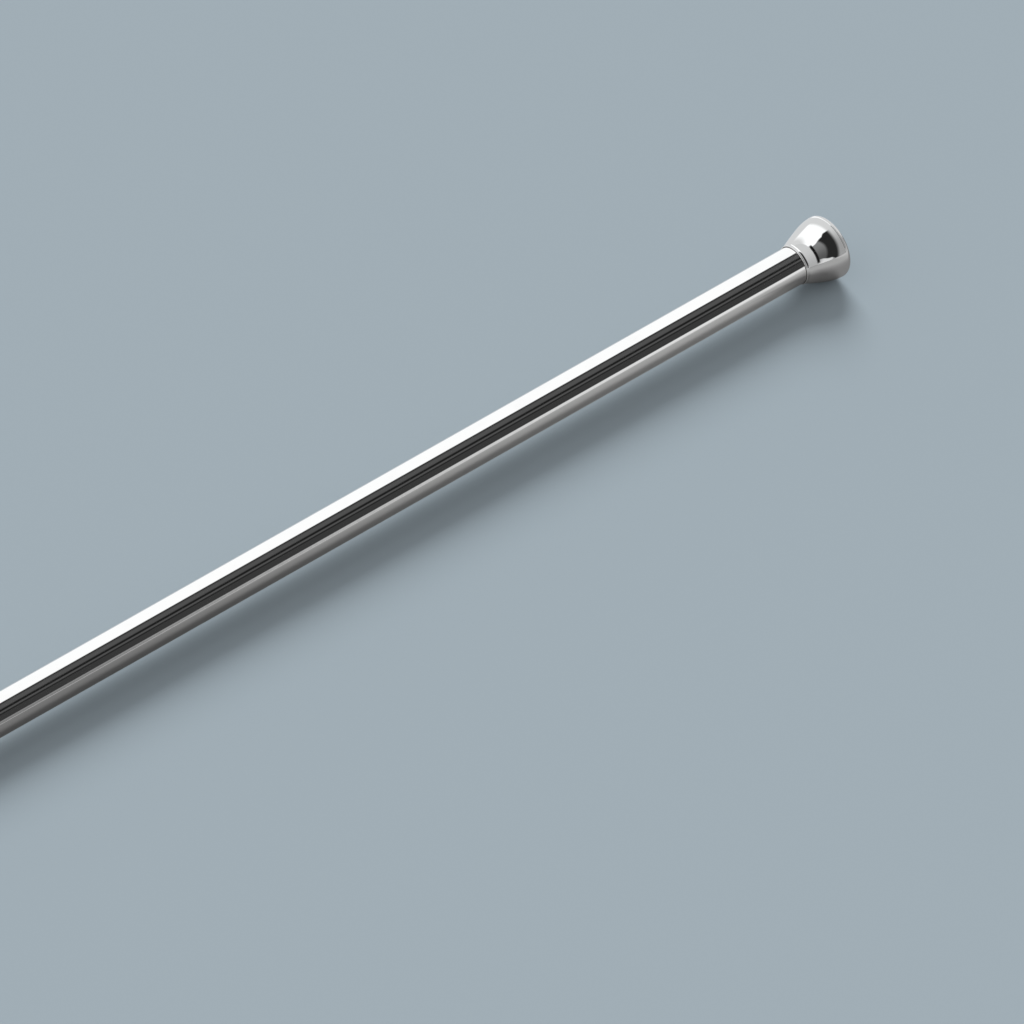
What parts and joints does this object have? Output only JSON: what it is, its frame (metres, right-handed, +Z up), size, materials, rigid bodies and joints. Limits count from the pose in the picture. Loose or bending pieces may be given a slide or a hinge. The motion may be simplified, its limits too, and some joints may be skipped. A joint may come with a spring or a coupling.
{
  "type": "window security bar",
  "caption": "Telescopic round security bar that spans a window opening between two wall sockets, with a bell-shaped cover cap at each end.",
  "frame": {"origin": "centre of the wall face at the outer tube's end, where the rubber pad meets the wall", "axes": "+X along the bar, from the wall at the origin to the far wall; +Z up"},
  "size_m": [0.7, 0.0366, 0.0366],
  "materials": {
    "chromed_tube": "polished chrome plate on steel tube",
    "chromed_cap": "polished chrome plate on die-cast cap",
    "zinc_steel": "turned steel, bright zinc plate",
    "blackened_steel": "hardened steel, blackened and oiled",
    "brass": "turned brass",
    "nylon": "moulded black nylon",
    "rubber": "moulded black rubber"
  },
  "bodies": {
    "outer_assembly": {"outer_tube": "chromed_tube", "mouth_bush": "nylon", "stop_sleeve": "nylon", "wall_socket_outer": "zinc_steel", "wall_pad_outer": "rubber", "socket_screws_outer": "blackened_steel"},
    "outer_cap": {"cover_cap_outer": "chromed_cap", "cap_ring_outer": "rubber"},
    "expander": {"expander_sleeve": "nylon"},
    "lock_nut": {"cone_nut": "brass"},
    "inner_assembly": {"inner_tube": "chromed_tube", "tail_bush": "nylon", "tail_plug": "zinc_steel", "lock_stud": "zinc_steel", "stud_clip": "blackened_steel", "thrust_washer": "zinc_steel", "core_bearing_tail": "nylon", "core_bearing_front": "nylon", "wall_socket_inner": "zinc_steel", "wall_pad_inner": "rubber", "socket_screws_inner": "blackened_steel"},
    "inner_cap": {"cover_cap_inner": "chromed_cap", "cap_ring_inner": "rubber"},
    "core": {"core_rod": "blackened_steel"}
  },
  "joints": [
    {"name": "outer_cap_slide", "type": "slide", "parent": "outer_assembly", "child": "outer_cap", "axis": [1, 0, 0], "range_m": [0, 0.585]},
    {"name": "telescope_slide", "type": "slide", "parent": "outer_assembly", "child": "expander", "axis": [1, 0, 0], "range_m": [-0.022, 0.35]},
    {"name": "inner_tube_twist", "type": "hinge", "parent": "expander", "child": "inner_assembly", "pos_m": [0.1, 0, 0], "axis": [-1, 0, 0], "range_deg": [0, 360]},
    {"name": "cone_nut_slide", "type": "slide", "parent": "expander", "child": "lock_nut", "axis": [1, 0, 0], "range_m": [0, 0.00125]},
    {"name": "inner_cap_slide", "type": "slide", "parent": "inner_assembly", "child": "inner_cap", "axis": [-1, 0, 0], "range_m": [0, 0.03]},
    {"name": "core_spin", "type": "hinge", "parent": "inner_assembly", "child": "core", "pos_m": [0.4, 0, 0], "axis": [1, 0, 0], "continuous": true}
  ],
  "couplings": [
    {"joint": "cone_nut_slide", "follows": "inner_tube_twist", "m_per_rad": 0.0001989}
  ]
}
